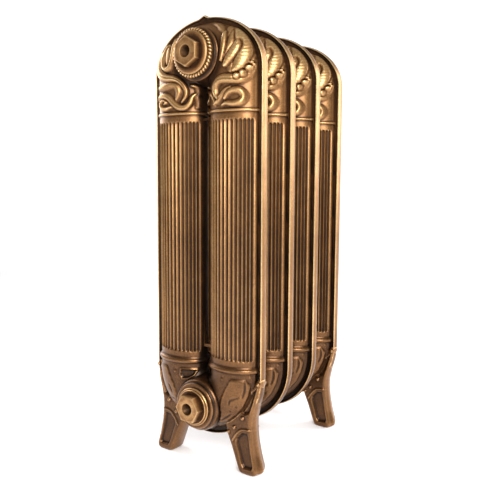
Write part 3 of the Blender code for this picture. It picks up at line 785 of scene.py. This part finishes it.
def tapped_hexagon(high):
    """The threaded tail that the plug and the vent share, and a hexagon of the given height."""
    tail = [(8.2, -9), (9, -8.2), (9, 2.0), (12.0, 2.0), (12.7, 2.4)]
    return tail + bevelled_prism(2.6, high, 6, SMALL_FLAT, 0.0, 0.7)


def plug(node):
    obj = brass_piece(node, tapped_hexagon(10.0) + [(9.6, 10.0), (9.0, 9.7)], 10.0)
    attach(obj, "radiator")
    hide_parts(node)
    return obj


def vent(node):
    boss = [(8.0, 6.0), (7.5, 6.4), (7.5, 9.4), (7.0, VENT_FACE)]
    screw_hole = [(3.6, VENT_FACE), (3.15, 9.6), (3.15, 0.7)]
    obj = brass_piece(node, tapped_hexagon(6.0) + boss + screw_hole, VENT_FACE)
    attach(obj, "radiator")
    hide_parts(node)
    return obj


def screw(node):
    rows = [(2.0, -9.0), (2.8, -8.0), (2.8, 0.3)]
    rows += bevelled_prism(0.32, SCREW_HEAD, 4, 2.5, math.pi / 4, 0.4)
    obj = brass_piece(node, rows + [(1.9, SCREW_HEAD)], SCREW_HEAD, sides=64)
    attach(obj, "bleed_screw")
    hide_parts(node)
    return obj


# ------------ wear, pooled paint and painted shade, worked out from each mesh


def read(items, name, width, kind=np.float32):
    """One property of all of a mesh's items, as an array with a row for each."""
    values = np.empty(len(items) * width, kind)
    items.foreach_get(name, values)
    return values.reshape(-1, width)


def points_of(mesh):
    return read(mesh.vertices, "co", 3).astype(float) / MM


BEND_SPREADS = 2       # times that the bend is shared out between neighbours


def curvature(mesh):
    """Mean bend at each vertex in 1/mm, positive where the surface bulges, spread a little to its neighbours."""
    count = len(mesh.vertices)
    co = points_of(mesh)
    normal = read(mesh.vertex_normals, "vector", 3)
    edges = read(mesh.edges, "vertices", 2, np.int32)
    total = np.zeros(count)
    weight = np.zeros(count)
    for a, b in ((0, 1), (1, 0)):
        here, there = edges[:, a], edges[:, b]
        step = co[there] - co[here]
        length = np.maximum((step ** 2).sum(1), 0.05)
        bend = -2 * (step * normal[here]).sum(1) / length
        near = 1 / np.sqrt(length)
        np.add.at(total, here, bend * near)
        np.add.at(weight, here, near)
    value = np.clip(total / np.maximum(weight, 1e-9), -1.5, 1.5)
    step = co[edges[:, 0]] - co[edges[:, 1]]
    near = 1 / (1 + (step ** 2).sum(1))
    for _ in range(BEND_SPREADS):
        total = value.copy()
        weight = np.ones(count)
        for a, b in ((0, 1), (1, 0)):
            np.add.at(total, edges[:, a], value[edges[:, b]] * near)
            np.add.at(weight, edges[:, a], near)
        value = total / weight
    return value


RAYS = 14


def openness(obj, near, far):
    """Two shares per vertex, 1 in the open: one for crevices near across and one for slots far across."""
    bm = bmesh.new()
    bm.from_mesh(obj.data)
    tree = BVHTree.FromBMesh(bm)
    spread = []
    for number in range(RAYS):
        up = 1 - (number + 0.5) / RAYS * 0.94
        turn = number * math.pi * (3 - math.sqrt(5))
        out = math.sqrt(1 - up * up)
        spread.append((out * math.cos(turn), out * math.sin(turn), up))
    spread = np.array(spread)
    weights = spread[:, 2] / spread[:, 2].sum()
    result = np.empty((len(bm.verts), 2))
    for vert in bm.verts:
        normal = vert.normal
        side = normal.orthogonal().normalized()
        frame_matrix = np.array([side, normal.cross(side), normal])
        start = vert.co + normal * 0.0002
        close = wide = 0.0
        for direction, weight in zip(spread @ frame_matrix, weights):
            distance = tree.ray_cast(start, direction, far)[3]
            distance = far if distance is None else distance
            close += weight * min(distance / near, 1.0)
            wide += weight * distance / far
        result[vert.index] = close, wide
    bm.free()
    return result


def store(mesh, name, values):
    attribute = mesh.attributes.new(name, "FLOAT", "POINT")
    attribute.data.foreach_set("value", np.asarray(values, np.float32))


# ------------ materials


def material(name, roughness, metallic):
    made = bpy.data.materials.new(name)
    made.use_nodes = True
    shader = made.node_tree.nodes["Principled BSDF"]
    shader.inputs["Metallic"].default_value = metallic
    shader.inputs["Roughness"].default_value = roughness
    return made, made.node_tree, shader


class Graph:
    """Short names for the nodes that the materials share."""

    def __init__(self, tree):
        self.tree = tree
        self.place = tree.nodes.new("ShaderNodeTexCoord").outputs["Object"]

    def link(self, source, socket):
        self.tree.links.new(source, socket)

    def set_or_link(self, socket, value):
        if isinstance(value, (int, float)):
            socket.default_value = value
        else:
            self.link(value, socket)

    def noise(self, scale, detail, roughness=0.5):
        node = self.tree.nodes.new("ShaderNodeTexNoise")
        for name, number in (("Scale", scale), ("Detail", detail), ("Roughness", roughness)):
            node.inputs[name].default_value = number
        self.link(self.place, node.inputs["Vector"])
        return node.outputs["Fac"]

    def attribute(self, name):
        node = self.tree.nodes.new("ShaderNodeAttribute")
        node.attribute_name = name
        return node.outputs["Fac"]

    def math(self, operation, a, b, clamp=False):
        node = self.tree.nodes.new("ShaderNodeMath")
        node.operation = operation
        node.use_clamp = clamp
        self.set_or_link(node.inputs[0], a)
        self.set_or_link(node.inputs[1], b)
        return node.outputs[0]

    def between(self, value, low, high, to_low=0.0, to_high=1.0):
        node = self.tree.nodes.new("ShaderNodeMapRange")
        self.link(value, node.inputs["Value"])
        for name, number in (("From Min", low), ("From Max", high), ("To Min", to_low), ("To Max", to_high)):
            node.inputs[name].default_value = number
        return node.outputs["Result"]

    def ramp(self, value, stops):
        node = self.tree.nodes.new("ShaderNodeValToRGB")
        self.link(value, node.inputs["Fac"])
        elements = node.color_ramp.elements
        while len(elements) < len(stops):
            elements.new(0.5)
        for element, (position, colour) in zip(elements, stops):
            element.position = position
            element.color = (*colour, 1.0)
        return node.outputs["Color"]

    def bump(self, height, strength, distance):
        node = self.tree.nodes.new("ShaderNodeBump")
        node.inputs["Strength"].default_value = strength
        node.inputs["Distance"].default_value = distance
        self.link(height, node.inputs["Height"])
        return node.outputs["Normal"]


BRONZE_STOPS = [(0.0, (0.014, 0.006, 0.0025)), (0.25, (0.082, 0.034, 0.0110)), (0.5, (0.222, 0.104, 0.036)),
                (0.75, (0.49, 0.285, 0.115)), (1.0, (0.88, 0.65, 0.34))]
LACQUER = 0.14
LACQUER_ROUGHNESS = 0.26


def bronze(name, base=0.52, wear=0.50, rise=0.22, pooled_paint_and_shade=0.24, shade=0.44, speckle=0.15, painted_shade_below=0.15,
           dull=0.0):
    """Antique bronze paint: dark where it pools, rubbed to gold on whatever stands proud, with a fine fleck. Its
    crevice darkening is partly that pooled paint and partly painted shade; its darkening in slots and hollows,
    and towards the bottom, is painted shade.
    """
    made, tree, shader = material(name, 0.36, 0.80)
    g = Graph(tree)
    fleck = g.between(g.noise(600, 3.0, 0.7), 0.36, 0.64)
    cloud = g.between(g.noise(30, 3.0, 0.6), 0.3, 0.7)
    height = tree.nodes.new("ShaderNodeSeparateXYZ")
    g.link(g.place, height.inputs[0])
    # Painted shade: the paint darkens towards the bottom, most below the lower beads, where less light falls.
    low = g.math("ADD", g.between(height.outputs["Z"], 0.190, 0.140),
                 g.between(height.outputs["Z"], 0.620, 0.300, 0.0, 0.75))
    tone = base
    for name_of, share in (("wear", wear), ("rise", rise)):
        tone = g.math("ADD", tone, g.math("MULTIPLY", g.attribute(name_of), share))
    # Painted shade: crevices (open) darken partly for pooled paint and partly for shade; slots and hollows
    # (wide) darken for shade alone.
    for name_of, share in (("open", pooled_paint_and_shade), ("wide", shade)):
        shut = g.math("SUBTRACT", 1.0, g.attribute(name_of))
        tone = g.math("SUBTRACT", tone, g.math("MULTIPLY", shut, share))
    tone = g.math("SUBTRACT", tone, g.math("MULTIPLY", low, painted_shade_below))
    tone = g.math("ADD", tone, g.math("MULTIPLY", g.math("SUBTRACT", fleck, 0.5), speckle))
    tone = g.math("ADD", tone, g.math("MULTIPLY", g.math("SUBTRACT", cloud, 0.5), 0.10), clamp=True)
    g.link(g.ramp(tone, BRONZE_STOPS), shader.inputs["Base Color"])
    rough = g.math("ADD", g.between(tone, 0.0, 1.0, 0.56 + dull, 0.33 + dull),
                   g.between(fleck, 0, 1, -0.05, 0.07))
    g.link(g.math("SUBTRACT", rough, g.math("MULTIPLY", low, 0.09)), shader.inputs["Roughness"])
    shader.inputs["Coat Weight"].default_value = LACQUER
    shader.inputs["Coat Roughness"].default_value = LACQUER_ROUGHNESS
    g.link(g.bump(g.noise(380, 4.0, 0.6), 0.14, 0.0004), shader.inputs["Normal"])
    return made


def mottled(shader, g, patches, stops, rough, grain, depth):
    """Colour from a patchy pattern, with its own finer noises for roughness and for bumps."""
    g.link(g.ramp(patches, stops), shader.inputs["Base Color"])
    g.link(g.between(g.noise(rough[0], 3.0), 0.3, 0.7, *rough[1:]), shader.inputs["Roughness"])
    g.link(g.bump(grain, *depth), shader.inputs["Normal"])


def brass():
    made, tree, shader = material("aged_brass", 0.35, 0.95)
    g = Graph(tree)
    mottled(shader, g, g.between(g.noise(160, 4.0, 0.6), 0.3, 0.7),
            [(0.0, (0.22, 0.13, 0.045)), (0.55, (0.48, 0.33, 0.12)), (1.0, (0.66, 0.49, 0.21))],
            (300, 0.26, 0.46), g.noise(900, 2.0), (0.12, 0.0002))
    return made


def iron():
    made, tree, shader = material("bare_iron", 0.55, 0.9)
    g = Graph(tree)
    mottled(shader, g, g.between(g.noise(120, 5.0, 0.65), 0.35, 0.7),
            [(0.0, (0.060, 0.055, 0.050)), (0.6, (0.085, 0.066, 0.050)), (1.0, (0.160, 0.070, 0.030))],
            (400, 0.4, 0.7), g.noise(700, 3.0), (0.25, 0.0003))
    return made


def fibre():
    made, tree, shader = material("graphited_fibre", 0.85, 0.0)
    g = Graph(tree)
    weave = g.noise(900, 2.0, 0.6)
    stops = [(0.2, (0.018, 0.016, 0.015)), (0.8, (0.060, 0.054, 0.048))]
    g.link(g.ramp(weave, stops), shader.inputs["Base Color"])
    g.link(g.between(weave, 0.3, 0.7, 0.75, 0.95), shader.inputs["Roughness"])
    g.link(g.bump(weave, 0.35, 0.0003), shader.inputs["Normal"])
    return made


def cad_look(node, look):
    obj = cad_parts[node]
    obj.data.materials.clear()
    obj.data.materials.append(look)


# ------------ the room


def stage_floor():
    """A pale floor that curves up into a wall behind the object."""
    near, far, wall, bend, half = -4.0, 3.2, 3.5, 1.2, 5.0
    outline = [(near, 0.0), (far - bend, 0.0)]
    for step in range(1, 13):
        angle = math.pi / 2 * step / 12
        outline.append((far - bend + bend * math.sin(angle), bend - bend * math.cos(angle)))
    outline.append((far, wall))
    vertices = [(x, y, z) for y, z in outline for x in (-half, half)]
    faces = [(2 * n, 2 * n + 1, 2 * n + 3, 2 * n + 2) for n in range(len(outline) - 1)]
    floor = mesh_object("floor", vertices, faces)
    floor.data.shade_smooth()
    floor.rotation_euler = (0, 0, CAMERA_AZIMUTH)
    made, tree, shader = material("pale_floor", 0.7, 0.0)
    g = Graph(tree)
    pale = g.ramp(g.noise(3.0, 2.0), [(0.3, (0.87, 0.862, 0.885)), (0.7, (0.90, 0.892, 0.912))])
    g.link(pale, shader.inputs["Base Color"])
    g.link(g.between(g.noise(60.0, 3.0), 0.3, 0.7, 0.62, 0.78), shader.inputs["Roughness"])
    floor.data.materials.append(made)


def area_light(name, place, target, size, power, colour):
    light = bpy.data.lights.new(name, "AREA")
    light.shape = "RECTANGLE"
    light.size, light.size_y = size
    light.energy = power
    light.color = colour
    obj = linked(name, light)
    obj.location = place
    obj.rotation_euler = (Vector(target) - Vector(place)).to_track_quat("-Z", "Y").to_euler()


CAMERA_PLACE = Vector((0.6027, -0.88705, 0.4365))
CAMERA_AZIMUTH = math.radians(34.63)
CAMERA_DOWN = math.radians(6.008)
CAMERA_ROLL = math.radians(0.286)
CAMERA_LENS = 45.63


def camera():
    made = bpy.data.cameras.new("camera")
    made.lens = CAMERA_LENS
    made.sensor_width = 36.0
    made.clip_start = 0.01
    obj = linked("camera", made)
    turn = (Matrix.Rotation(CAMERA_AZIMUTH, 4, "Z") @ Matrix.Rotation(math.pi / 2 - CAMERA_DOWN, 4, "X")
            @ Matrix.Rotation(CAMERA_ROLL, 4, "Z"))
    obj.matrix_world = Matrix.Translation(CAMERA_PLACE) @ turn
    bpy.context.scene.camera = obj


def lighting():
    area_light("key", (1.05, -1.2, 0.98), (0, 0, 0.58), (0.8, 0.8), 38, (1.0, 0.98, 0.93))
    area_light("back", (1.5, 1.7, 1.1), (0, 0, 0.45), (1.2, 1.4), 62, (1.0, 0.97, 0.92))
    area_light("left", (-1.5, 0.0, 1.05), (0, 0, 0.55), (1.0, 1.4), 26, (1.0, 0.98, 0.95))
    world = bpy.data.worlds.new("studio")
    world.use_nodes = True
    tree = world.node_tree
    background = tree.nodes["Background"]
    background.inputs["Color"].default_value = (1.0, 1.0, 1.0, 1.0)
    path = tree.nodes.new("ShaderNodeLightPath")
    strength = tree.nodes.new("ShaderNodeMapRange")
    strength.inputs["To Min"].default_value = 1.0
    strength.inputs["To Max"].default_value = 0.11
    tree.links.new(path.outputs["Is Glossy Ray"], strength.inputs["Value"])
    tree.links.new(strength.outputs["Result"], background.inputs["Strength"])
    bpy.context.scene.world = world


# ------------ putting it together


HUB_CLEAR = 42.0
RIM_CLEAR = 8.0
FULL_RISE = 7.0


def rise_of(mesh):
    """How far the ornament stands up at each vertex of a casting, from 0 to 1."""
    x, y, z = points_of(mesh).T
    height = relief(np.where(y < 0, x, -x), z)
    clear_of_hubs = np.minimum(np.hypot(x, z - PORT_HIGH), np.hypot(x, z - PORT_LOW)) > HUB_CLEAR
    clear_of_rim = np.abs(y) > RIM_CLEAR
    return np.where(clear_of_hubs & clear_of_rim, np.clip(height / FULL_RISE, -1, 1), 0.0)


def foot_rise(mesh):
    """Lower inside the panels of a foot, so the paint there stays dark."""
    x, _, z = points_of(mesh).T
    facing = step_up(np.abs(read(mesh.vertices, "normal", 3)[:, 1]) - 0.15, 0.6)
    return facing * np.clip(foot_face(np.abs(x), z) / 6 + 0.1, -0.1, 0.4) + (1 - facing) * 0.8


def painted_corner_shade(mesh):
    """Painted shade: darkens the slot between the columns, the hollow around the top port and its collar, where
    shadow falls.
    """
    x, y, z = points_of(mesh).T
    x = np.where(y < 0, x, -x)
    beside = step_up(np.where(x < 0, -x - 8.5, (x - 9) * 0.3), 4.0)
    beyond = np.maximum(step_up(z - ARCH_HIGH - 6, 4.0), step_up(ARCH_LOW - 6 - z, 4.0))
    away = np.hypot(x, z - PORT_HIGH)
    moat = np.exp(-((away - 44) / 5.5) ** 2) * step_up(650 - z + 0.3 * x, 40.0) * (away > 38.9)
    collar = step_up(away - 30, 2.0) * step_up(39.6 - away, 0.5) * step_up(np.abs(y) - 20, 4.0)
    return np.maximum(beside, beyond) * (1 - 0.9 * moat) * (1 - 0.6 * collar)


def edge_light(mesh):
    """The least openness allowed: the outer sides of the columns run almost flush into the rim."""
    x, _, z = points_of(mesh).T
    return 0.85 * step_up(np.abs(x) - 84, 4.0) * step_up(z - 160, 10.0) * step_up(640 - z, 60.0)


# Stores the rubbed wear on bulging edges, and two openness shares that the paint turns into pooled paint and
# painted shade.
def wear_and_painted_shade(obj, bend=1.6, near=0.007, far=0.045, casting=False):
    store(obj.data, "wear", np.clip(curvature(obj.data) * bend, -1, 1))
    close, wide = openness(obj, near, far).T
    if casting:
        # On a casting, painted shade is also laid in the slot between the columns and around the top port.
        close = np.maximum(close, edge_light(obj.data))
        wide = np.maximum(wide, edge_light(obj.data)) * painted_corner_shade(obj.data)
    store(obj.data, "open", close)
    store(obj.data, "wide", wide)


def place_copy(pattern, name, y, look, node=None):
    """A copy of a pattern at one section's place, riding on the radiator."""
    piece = linked(name, pattern.data.copy())
    piece.data.transform(Matrix.Translation((0, y * MM, 0)))
    piece.data.materials.clear()
    piece.data.materials.append(look)
    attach(piece, "radiator")
    if node:
        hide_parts(node)


def build():
    camera()
    stage_floor()
    lighting()
    bpy.context.scene.view_settings.view_transform = "Standard"

    casting = bronze("bronze_casting")
    pattern, solid = build_section()
    feet = build_feet(solid)
    ropes = [rope(face) for face in (-1, 1)]
    finish_mesh(pattern, 50)
    wear_and_painted_shade(pattern, casting=True)
    store(pattern.data, "rise", rise_of(pattern.data))
    for made in ropes:
        finish_mesh(made, 50)
        wear_and_painted_shade(made)
    for made in feet:
        finish_mesh(made, 50)
        wear_and_painted_shade(made, near=0.004, far=0.02)
        store(made.data, "rise", foot_rise(made.data))
    for node in SECTIONS:
        y = node_centre(node)[1]
        place_copy(pattern, node + "_cast", y, casting, node)
        for made, where in zip(ropes, ("front", "back")):
            place_copy(made, f"{node}_rope_{where}", y, casting)
        if node.startswith("end"):
            for made, where in zip(feet, ("right", "left")):
                place_copy(made, f"{node}_foot_{where}", y, casting)
    for made in [pattern, solid] + feet + ropes:
        bpy.data.objects.remove(made, do_unlink=True)

    # The fittings' paint, with stronger painted shade in their bores and crevices.
    machined = bronze("bronze_fitting", base=0.45, wear=0.70, rise=0.0, pooled_paint_and_shade=0.34, shade=0.48, speckle=0.12,
                      painted_shade_below=0.0, dull=0.10)
    shapes = {"top": (math.pi / 2, UPPER_FLANGE), "bottom": (0.0, LOWER_FLANGE)}
    for end, outward in (("front", -1), ("rear", 1)):
        for level, (turn, flange) in shapes.items():
            piece = bush(f"bush_{end}_{level}", outward, turn, flange)
            wear_and_painted_shade(piece, 1.2)
            piece.data.materials.append(machined)

    yellow = brass()
    for piece in (plug("blanking_plug"), vent("vent_body"), screw("bleed_screw")):
        piece.data.materials.append(yellow)

    bare, packing = iron(), fibre()
    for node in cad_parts:
        if node.startswith("nipple"):
            cad_look(node, bare)
        elif "gasket" in node or node.endswith("_seal"):
            cad_look(node, packing)


build()
